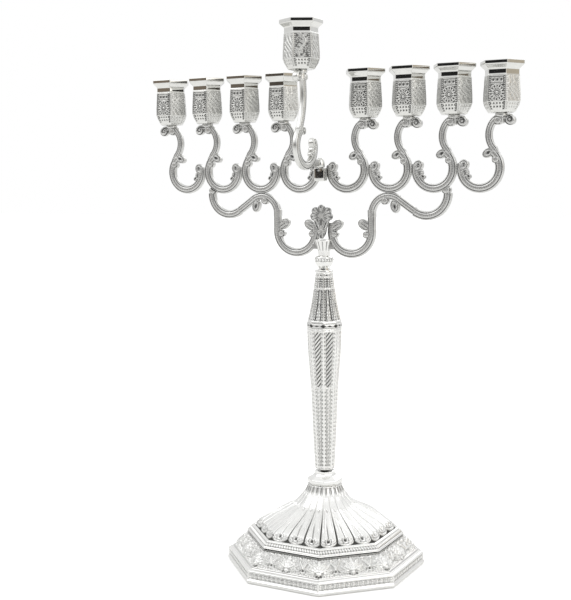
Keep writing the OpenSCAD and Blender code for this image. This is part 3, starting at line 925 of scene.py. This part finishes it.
def palmetteParts():
    low, high = boxOf("palmette")
    centreZ = palmette["centre"]
    ringX, ringZ = palmette["ring"], palmette["ring"] * palmette["squash"]
    parts = [button((0, centreZ + 0.2), 5.2, 4.2, 0, fan(9), 0.9)]
    for degrees in (-12, 38, 90, 142, 192):
        angle = math.radians(degrees)
        place = (ringX * math.cos(angle), centreZ + ringZ * math.sin(angle))
        parts.append(button(place, *palmette["lobe"], degrees, fan(4), 1.3))
    parts.append(button((0, centreZ - 0.4), 2.3, 2.0, 0, pearl(), 1.6))
    parts.append(button((0, centreZ - 7.6), 6.2, 3.3, 90, fan(6), 1.1))
    for hand in (-1, 1):
        parts.append(button((hand * 2.9, centreZ - 5.8), 4.6, 1.25, 90 - hand * 24, leafHead(0.16), 1.35))
        parts.append(button((hand * 1.3, centreZ - 9.8), 1.5, 1.4, 0, pearl(), 1.3))
    parts.append(button((0, centreZ - 12.2), 1.8, 1.4, 90, leafHead(0.2), 1.3))
    middle = (low[1] + high[1]) / 2

    def place(points):
        y = middle + np.clip(points[:, 1], -palmette["thick"], palmette["thick"])
        z = np.clip(points[:, 2], low[2] + 0.02, high[2] - 0.02)
        return np.stack([points[:, 0], y, z], 1)

    return moved(parts, place)


addPiece("palmette_flower", palmetteParts(), shadedSilver, "stand", ["palmette"])


block = {
    "halfX": 3.35, "backY": -1.85,
    "corner": 0.22,                   # the lower, the squarer its corners
    "socketR": 1.65, "socketDeep": 6.4,
    "notchDeep": 0.55,
    "tongueLevels": (236.6, 241.9),   # the tongue that ties it to the two inner arms
}


# filed flat and polished, so it mirrors the dark gap; a V notch at the top of its front
def blockRings():
    low, high = boxOf("socket_block")
    heights = np.linspace(low[2], high[2], 34)[:, None]
    angle = np.linspace(-math.pi, math.pi, 120, endpoint=False)[None]
    middleY, halfY = (low[1] + block["backY"]) / 2, (block["backY"] - low[1]) / 2
    boxX, boxY = squared(angle, block["corner"])
    narrow = 1 - 0.12 * np.exp(-(heights - low[2]) / 0.5)    # the foot is filed a little smaller
    x = boxX * block["halfX"] * narrow
    y = middleY + boxY * halfY * narrow
    depth = ease((heights - (high[2] - 2.6)) / 2.6 - np.abs(x) / 1.6)
    y = y + block["notchDeep"] * ridge(x / 1.2, 1) * depth * (y < middleY - halfY * 0.8)
    outer = np.stack([x, y, heights + 0 * x], -1)
    c, s = np.cos(angle), np.sin(angle)
    rings = [outer]
    radius, deep = block["socketR"], block["socketDeep"]
    for r, down in ((radius, 0), (radius, 3), (radius, deep), (0.1, deep + 0.1)):
        rings.append(np.stack([r * c, socketY + r * s, high[2] - down + 0 * c], -1))
    return shell(np.concatenate(rings), 0.0, 1.0)


blockTongue = bar("z", *block["tongueLevels"], 20, (0, -0.5), (2.0, 1.75), 0.3, 48, 0.3)
addPiece("socket_block_filed", [blockRings(), blockTongue], cupSilver, "stand", ["socket_block"])
print("menorah: brackets, palmette and socket block cast")


cup = {
    "deep": 0.5,                  # depth of the darkest ground, mm
    "grounds": (0.5, 0.2),        # depth of the ground on garden and scroll faces
    "servantGrounds": (0.26, 0.44),
    "rosette": (10.4, 4.3),       # height of its centre and its radius
    "frame": (17.2, 3.9, 2.0),    # centre height, half width, half height
    "square": 1.75,               # pitch of the small squares along a face
    "squareLevel": 3.75,          # middle of the band of squares
    "patternTop": 20.0,
}


def rosette(u, v, radius, petals):
    rho = np.hypot(u, v)
    angle = np.arctan2(v, u)
    petal = 0.5 + 0.5 * np.cos(petals * angle)
    inside = (rho > 0.3 * radius) & (rho < 0.9 * radius)
    body = ease((petal - 0.3) / 0.4) * inside
    heart = ridge(rho, 0.24 * radius)
    rim = ridge(rho - radius, 0.32)
    pearls = ridge(rho - radius * 0.62, 0.3) * (petal < 0.5)
    return np.maximum(np.maximum(body, heart), np.maximum(rim, 0.8 * pearls))


def filigree(u, v, pitch):
    k = 2 * math.pi / pitch
    wave = np.sin(k * u + 1.5 * np.sin(k * 0.7 * v)) * np.cos(k * 0.85 * v + 1.4 * np.sin(k * 0.8 * u))
    return ease((wave + 0.05) / 0.5)


def squares(u, z, half):
    level = z - cup["squareLevel"]
    away = np.maximum(repeated(u, cup["square"]), repeated(level + 0.9, 1.8))
    return plateau(away, 0.42, 0.22) * (np.abs(level) < 1.9) * (np.abs(u) < half - 0.7)


def faceGarden(u, z, half):    # rosette, framed panel with three dots
    raised = 0.75 * filigree(u, z - 10.4, 2.0)
    centre, radius = cup["rosette"]
    near = np.hypot(u, z - centre) < radius + 0.5
    raised = np.where(near, rosette(u, z - centre, radius, 14), raised)
    frameZ, frameW, frameH = cup["frame"]
    inFrame = (np.abs(u) < frameW + 0.4) & (np.abs(z - frameZ) < frameH + 0.4)
    border = np.maximum(np.abs(u) - frameW, np.abs(z - frameZ) - frameH)
    dots = np.zeros(raised.shape)
    for k in (-1, 0, 1):
        dots = np.maximum(dots, ridge(np.hypot(u - 2.3 * k, (z - frameZ) / 1.25), 0.85))
    panel = np.maximum(ridge(border, 0.3), 0.9 * (border < -0.55) * (1 - dots))
    raised = np.where(inFrame, panel, raised)
    return raised


def faceScroll(u, z, half):    # long S ribs that run from the top left to the bottom right
    lean = u * 0.95 + (z - 12) * 0.62 + 1.6 * np.sin((z - 12) * 0.38)
    ribs = ridge(repeated(lean, 2.9), 0.75)
    fill = 0.55 * filigree(u, z, 1.7)
    buds = ridge(np.hypot(repeated(u + 0.5 * z, 2.9), repeated(z, 3.1)), 0.75)
    return np.maximum(np.maximum(ribs, fill), 0.9 * buds)


def faceVine(u, z, half):    # one climbing stem with leaves and five dark berries
    stemX = 2.0 * np.sin((z - 12) * 0.5)
    raised = np.maximum(0.7 * filigree(u, z, 1.9), ridge(u - stemX, 0.5))
    for k in range(7):
        leafZ = 6.2 + 1.9 * k
        leafX = 2.0 * math.sin((leafZ - 12) * 0.5)
        for degrees in (58, -58):
            lx, ly = turnedBy(u, z, leafX, leafZ, degrees)
            raised = np.maximum(raised, leaf(lx, ly, 3.0, 0.8, 4))
    for berryX, berryZ in ((-3.2, 6.9), (3.2, 6.9), (-0.4, 7.4), (2.9, 13.4), (-2.9, 18.0)):
        raised = raised * (1 - ridge(np.hypot(u - berryX, z - berryZ), 0.95))
    return raised


def cupRelief(motifs, ground):
    def relief(face, u, z, half):
        lift = np.zeros(np.broadcast(u, z).shape)
        for k, motif in enumerate(motifs):
            pattern = motif(u, z, half)
            pattern = np.where(z < 5.75, 1 - squares(u, z, half), pattern)
            edge = half - np.abs(u)
            beads = ridge(np.hypot((edge - 0.95) / 0.36, repeated(z, 1.15) / 0.46), 1)
            strip = np.maximum(ridge(edge, 0.42), beads)
            pattern = np.where(edge < 1.35, strip, pattern)
            for level in (1.2, 5.75, 19.7):
                pattern = np.maximum(pattern, ridge(z - level, 0.32))
            inBand = ease((z - 0.9) / 0.5) * ease((cup["patternTop"] - z) / 0.4)
            lift = np.where(face % len(motifs) == k, -ground[k] * (1 - pattern) * inBand, lift)
        return lift
    return relief


def cupPolish(z):
    return np.where((z > 19.9) | (z < 0.9), 1.0, 0.0)


cupOuter = [(7.3, 0), (7.7, 0.3), (8, 0.9), (9.7, 3.6), (10.5, 6), (10.45, 10), (10.1, 15), (9.85, 19.4),
            (9.65, 20.2), (9.6, 20.6), (9.6, 22.8), (10.0, 23.4), (11.9, 25.0), (12.35, 25.4), (12.4, 25.8),
            (12.4, 27.4), (12.3, 27.5)]
# drip well, candle bore, recess for the screw's head, screw hole
cupInner = [(10.4, 27.5), (8.9, 26.3), (7.6, 26.1), (7.4, 25.8), (7.4, 22), (7.4, 17), (7.4, 13.1), (7.2, 13),
            (5.6, 13), (5.4, 12.8), (5.4, 8), (5.4, 3.2), (5.2, 3.1), (2.8, 3.1),
            (2.6, 3.0), (2.6, 1.8), (2.5, 1.7), (1.3, 1.7), (1.3, 1.5), (1.3, 0)]


def cupShell(motifs, ground, turn):    # the first motif's face points along the turn angle
    relief = cupRelief(motifs, ground)
    return facets(cupOuter, cupInner, sides=6, turn=turn, columns=46, step=0.17, relief=relief,
                  soften=0.1, deep=cup["deep"], polish=cupPolish)


rowCup = cupShell((faceGarden, faceScroll), cup["grounds"], math.radians(30))
for side, hand in (("right", 1), ("left", -1)):
    for i in range(1, 5):
        name = f"cup_{side}_{i}"

        def place(points, hand=hand, i=i):
            return points + np.array([hand * i * pitch, 0, seatZ])

        addPiece(name + "_stamped", moved([rowCup], place), cupSilver, "stand", [name])

servantCup = cupShell((faceScroll, faceVine), cup["servantGrounds"], 0)


def placeServant(points):
    return points + np.array([0, servantY, servantZ])


addPiece("servant_cup_stamped", moved([servantCup], placeServant), cupSilver, "servant", ["servant_cup"])
print("menorah: cups stamped")


studio = {
    "floor": "F6F6F5", "floorDark": "F3F3F2", "floorSize": 6.0, "toothMm": 2,
    "glow": 0.32,    # how far the paper burns out to white
    "sky": 1.05, "wall": 0.72, "dark": 0.02, "warm": "C2B8A8", "brown": "857A6E",
    "keyWatts": 1.6, "fillWatts": 1.5, "backWatts": 1.2, "boxSize": 0.6,
}


def paperSweep():    # matt white studio paper, a very faint tooth
    material, tree = newMaterial("studio_paper_matt")
    place = addNode(tree, "ShaderNodeTexCoord")
    tooth = addNode(tree, "ShaderNodeTexNoise", {"Scale": 1 / (studio["toothMm"] * mm), "Detail": 2.0},
                    {"Vector": place.outputs["Object"]})
    colour = addNode(tree, "ShaderNodeMix",
                     {"data_type": "RGBA", 6: linear(studio["floorDark"]), 7: linear(studio["floor"])},
                     {0: tooth.outputs["Fac"]})
    path = addNode(tree, "ShaderNodeLightPath")
    glow = addNode(tree, "ShaderNodeMath", {"operation": "MULTIPLY", 1: studio["glow"]},
                   {0: path.outputs["Is Camera Ray"]})
    shader = addNode(tree, "ShaderNodeBsdfPrincipled", {"Roughness": 0.9, "Emission Color": [1, 1, 1, 1]},
                     {"Base Color": colour.outputs[2], "Emission Strength": glow.outputs[0]})
    addNode(tree, "ShaderNodeOutputMaterial", {}, {"Surface": shader.outputs[0]})
    return material


size = studio["floorSize"]
floorCorners = [(-size, -size, 0), (size, -size, 0), (size, size, 0), (-size, size, 0)]
floorMesh = bpy.data.meshes.new("studio_floor")
floorMesh.from_pydata(floorCorners, [], [(0, 1, 2, 3)])
floorMesh.materials.append(paperSweep())
floorObject = bpy.data.objects.new("studio_floor", floorMesh)
bpy.context.scene.collection.objects.link(floorObject)


def between(tree, axis, start, stop):    # eases from 0 to 1 along one direction of the sky
    return addNode(tree, "ShaderNodeMapRange",
                   {"interpolation_type": "SMOOTHSTEP", "From Min": start, "From Max": stop}, {"Value": axis})


def studioWorld():    # bright tent with a dark gap in front and a brown wall on its left
    world = bpy.data.worlds.new("light_tent")
    world.use_nodes = True
    tree = world.node_tree
    tree.nodes.clear()
    place = addNode(tree, "ShaderNodeTexCoord")
    axes = addNode(tree, "ShaderNodeSeparateXYZ", {}, {"Vector": place.outputs["Generated"]})
    front = between(tree, axes.outputs["Y"], -0.55, -0.78)
    tall = addNode(tree, "ShaderNodeMath", {"operation": "ABSOLUTE"}, {0: axes.outputs["Z"]})
    level = between(tree, tall.outputs[0], 0.34, 0.16)
    gap = addNode(tree, "ShaderNodeMath", {"operation": "MULTIPLY"},
                  {0: front.outputs[0], 1: level.outputs[0]})
    rightWall = between(tree, axes.outputs["X"], 0.8, 0.97)
    leftWall = between(tree, axes.outputs["X"], -0.43, -0.56)
    height = addNode(tree, "ShaderNodeMapRange",
                     {"From Min": -0.1, "From Max": 0.75, "To Min": studio["wall"], "To Max": studio["sky"]},
                     {"Value": axes.outputs["Z"]})
    tent = addNode(tree, "ShaderNodeMix", {"data_type": "RGBA", 7: linear(studio["warm"])},
                   {0: rightWall.outputs[0], 6: height.outputs[0]})
    room = addNode(tree, "ShaderNodeMix",
                   {"data_type": "RGBA", 6: [studio["dark"]] * 3 + [1], 7: linear(studio["brown"])},
                   {0: leftWall.outputs[0]})
    colour = addNode(tree, "ShaderNodeMix", {"data_type": "RGBA"},
                     {0: gap.outputs[0], 6: tent.outputs[2], 7: room.outputs[2]})
    lit = addNode(tree, "ShaderNodeBackground", {"Strength": 1.0}, {"Color": colour.outputs[2]})
    seen = addNode(tree, "ShaderNodeBackground", {"Color": [1, 1, 1, 1], "Strength": 1.0})
    path = addNode(tree, "ShaderNodeLightPath")
    both = addNode(tree, "ShaderNodeMixShader", {},
                   {0: path.outputs["Is Camera Ray"], 1: lit.outputs[0], 2: seen.outputs[0]})
    addNode(tree, "ShaderNodeOutputWorld", {}, {"Surface": both.outputs[0]})
    bpy.context.scene.world = world


studioWorld()


def softBox(name, place, watts):    # points at the middle of the menorah
    light = bpy.data.lights.new(name, "AREA")
    light.size = studio["boxSize"]
    light.energy = watts
    holder = bpy.data.objects.new(name, light)
    bpy.context.scene.collection.objects.link(holder)
    holder.location = place
    towards = Vector((0, 0, 0.15)) - Vector(place)
    holder.rotation_euler = towards.to_track_quat("-Z", "Y").to_euler()


softBox("key_soft_box", (-0.7, -0.6, 0.9), studio["keyWatts"])
softBox("fill_soft_box", (0.9, -0.3, 0.6), studio["fillWatts"])
softBox("back_soft_box", (0.1, 0.8, 0.8), studio["backWatts"])

lens = {
    "place": (0.2938, -0.5907, 0.2343),   # metres from the middle of the foot
    "azimuth": 28.55, "down": 7.43, "roll": -0.48,    # degrees
    "focal": 65.93, "film": 36.0, "shiftX": 0.002, "shiftY": 0.0417,
}


def setCamera():
    data = bpy.data.cameras.new("studio_camera")
    data.sensor_fit = "VERTICAL"
    data.sensor_height = lens["film"]
    data.lens = lens["focal"]
    data.shift_x = lens["shiftX"]
    data.shift_y = lens["shiftY"]
    data.clip_start = 0.01
    camera = bpy.data.objects.new("studio_camera", data)
    bpy.context.scene.collection.objects.link(camera)
    azimuth, down, roll = (math.radians(lens[k]) for k in ("azimuth", "down", "roll"))
    flat = math.cos(down)
    forward = Vector((-math.sin(azimuth) * flat, math.cos(azimuth) * flat, -math.sin(down)))
    level = Vector((math.cos(azimuth), math.sin(azimuth), 0))
    upright = level.cross(forward)
    right = level * math.cos(roll) + upright * math.sin(roll)
    up = right.cross(forward)
    turn = Matrix((right, up, -forward)).transposed()
    camera.matrix_world = Matrix.Translation(lens["place"]) @ turn.to_4x4()
    bpy.context.scene.camera = camera


setCamera()
bpy.context.scene.view_settings.view_transform = "Standard"
print("menorah: studio set")
